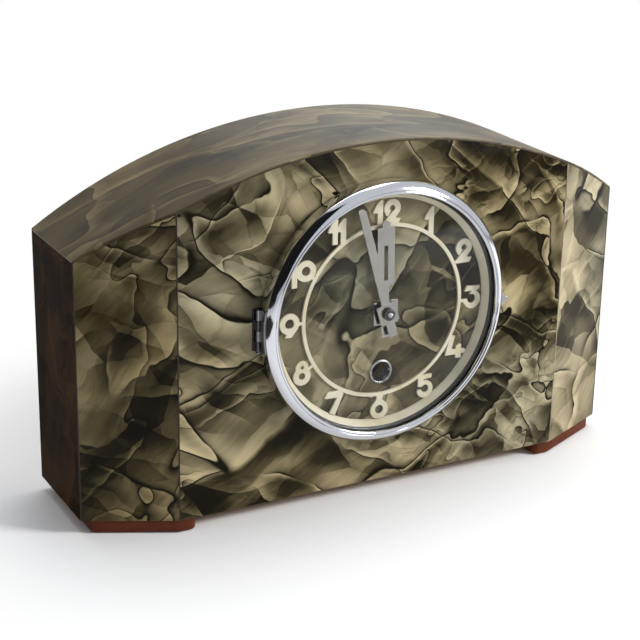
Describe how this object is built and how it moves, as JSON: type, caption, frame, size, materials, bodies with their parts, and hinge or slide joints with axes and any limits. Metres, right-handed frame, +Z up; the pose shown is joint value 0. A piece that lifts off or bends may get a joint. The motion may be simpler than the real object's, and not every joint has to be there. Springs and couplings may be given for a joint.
{
  "type": "mantel clock",
  "caption": "Low arched mantel clock with angled wings, round hinged bezel with domed glass, raised numeral ring, rear door and a pendulum movement",
  "frame": {"origin": "bottom centre of the bounding box, on the surface that the feet stand on, midway between the glass and the back edge of the case", "axes": "+X to the right seen from the front, +Y from the dial to the back, +Z up"},
  "size_m": [0.3, 0.092, 0.1828],
  "materials": {
    "pearloid": "pearly celluloid sheet with a crumpled-foil pattern, polished",
    "case_wood": "plain softwood and plywood, unfinished inside",
    "back_wood": "thin plywood, stained dark",
    "foot_wood": "red-brown stained hardwood, satin lacquer",
    "chrome": "bright plate, slightly worn",
    "glass": "clear domed glass",
    "cream_enamel": "cream enamel, satin",
    "dark_metal": "dark oxidised metal",
    "brass": "brushed brass",
    "steel": "bright steel"
  },
  "bodies": {
    "case": {"front_sheet": "pearloid", "left_wing_sheet": "pearloid", "right_wing_sheet": "pearloid", "left_end_sheet": "pearloid", "right_end_sheet": "pearloid", "top_sheet": "pearloid", "dial_disc": "pearloid", "base_board": "case_wood", "left_end_board": "case_wood", "right_end_board": "case_wood", "left_wing_board": "case_wood", "right_wing_board": "case_wood", "front_board": "case_wood", "top_board": "case_wood", "back_board": "back_wood", "left_foot": "foot_wood", "right_foot": "foot_wood", "bezel_base_ring": "chrome", "bezel_hinge_fixed_leaf": "chrome", "bezel_hinge_pin": "chrome", "winding_eyelet": "chrome", "numeral_ring": "cream_enamel", "depth_ring": "cream_enamel", "door_hinge_fixed_leaves": "brass", "front_plate": "brass", "back_plate": "brass", "pillars": "brass", "pendulum_cock": "brass", "door_hinge_pins": "steel", "plate_nuts": "steel", "movement_screws": "steel", "back_plate_screws": "steel", "click_spring": "steel"},
    "bezel": {"bezel_ring": "chrome", "glass": "glass", "glass_retaining_ring": "chrome", "bezel_hinge_moving_leaf": "chrome", "bezel_finger_tab": "chrome"},
    "rear_door": {"rear_door": "back_wood", "door_hinge_moving_leaves": "brass", "door_knob": "brass"},
    "minute_arbor": {"centre_arbor": "steel", "centre_wheel": "brass", "cannon_pinion": "steel", "minute_hand": "chrome", "hand_nut": "dark_metal"},
    "hour_wheel": {"hour_wheel": "brass", "hour_hand": "chrome"},
    "minute_wheel": {"minute_wheel": "brass"},
    "second_wheel": {"second_wheel": "brass"},
    "third_wheel": {"third_wheel": "brass"},
    "escape_wheel": {"escape_wheel": "brass"},
    "barrel": {"spring_barrel": "brass", "mainspring": "steel"},
    "winding_arbor": {"winding_arbor": "steel", "ratchet_wheel": "steel"},
    "click": {"click": "steel"},
    "anchor": {"anchor": "steel"},
    "pendulum": {"pendulum_rod": "steel", "pendulum_bob": "brass"}
  },
  "joints": [
    {"name": "bezel_hinge", "type": "hinge", "parent": "case", "child": "bezel", "pos_m": [-0.0672, -0.0324, 0.0983], "axis": [0, 0, -1], "range_deg": [0, 110]},
    {"name": "rear_door_hinge", "type": "hinge", "parent": "case", "child": "rear_door", "pos_m": [-0.098, 0.0436, 0.0914], "axis": [0, 0, 1], "range_deg": [0, 110]},
    {"name": "minute_arbor_turn", "type": "hinge", "parent": "case", "child": "minute_arbor", "pos_m": [0, 0, 0.0983], "axis": [0, 1, 0], "continuous": true},
    {"name": "hour_wheel_turn", "type": "hinge", "parent": "case", "child": "hour_wheel", "pos_m": [0, -0.016, 0.0983], "axis": [0, 1, 0], "continuous": true},
    {"name": "minute_wheel_turn", "type": "hinge", "parent": "case", "child": "minute_wheel", "pos_m": [-0.012, -0.016, 0.0983], "axis": [0, 1, 0], "continuous": true},
    {"name": "second_wheel_turn", "type": "hinge", "parent": "case", "child": "second_wheel", "pos_m": [0.01376, 0, 0.08669], "axis": [0, 1, 0], "continuous": true},
    {"name": "third_wheel_turn", "type": "hinge", "parent": "case", "child": "third_wheel", "pos_m": [-0.01128, 0, 0.11174], "axis": [0, 1, 0], "continuous": true},
    {"name": "escape_wheel_turn", "type": "hinge", "parent": "case", "child": "escape_wheel", "pos_m": [0, 0, 0.12252], "axis": [0, 1, 0], "continuous": true},
    {"name": "barrel_turn", "type": "hinge", "parent": "case", "child": "barrel", "pos_m": [0, 0, 0.0663], "axis": [0, 1, 0], "continuous": true},
    {"name": "winding_arbor_turn", "type": "hinge", "parent": "case", "child": "winding_arbor", "pos_m": [0, -0.01, 0.0663], "axis": [0, 1, 0], "continuous": true},
    {"name": "click_lift", "type": "hinge", "parent": "case", "child": "click", "pos_m": [-0.0105, 0.0165, 0.0723], "axis": [0, -1, 0], "range_deg": [0, 7], "stiffness_Nm_per_rad": 0.0001, "springref_deg": -28.65},
    {"name": "pendulum_swing", "type": "hinge", "parent": "case", "child": "pendulum", "pos_m": [0, 0.0222, 0.13575], "axis": [0, 1, 0], "range_deg": [-3.5, 3.5]},
    {"name": "anchor_rock", "type": "hinge", "parent": "case", "child": "anchor", "pos_m": [0, 0, 0.13575], "axis": [0, 1, 0], "range_deg": [-3.5, 3.5]}
  ],
  "couplings": [
    {"joint": "hour_wheel_turn", "follows": "minute_arbor_turn", "ratio": 0.083333},
    {"joint": "minute_wheel_turn", "follows": "minute_arbor_turn", "ratio": -0.33333},
    {"joint": "second_wheel_turn", "follows": "minute_arbor_turn", "ratio": -0.2},
    {"joint": "barrel_turn", "follows": "minute_arbor_turn", "ratio": 0.027778},
    {"joint": "third_wheel_turn", "follows": "minute_arbor_turn", "ratio": -12},
    {"joint": "escape_wheel_turn", "follows": "minute_arbor_turn", "ratio": 144},
    {"joint": "anchor_rock", "follows": "pendulum_swing", "ratio": 1}
  ]
}
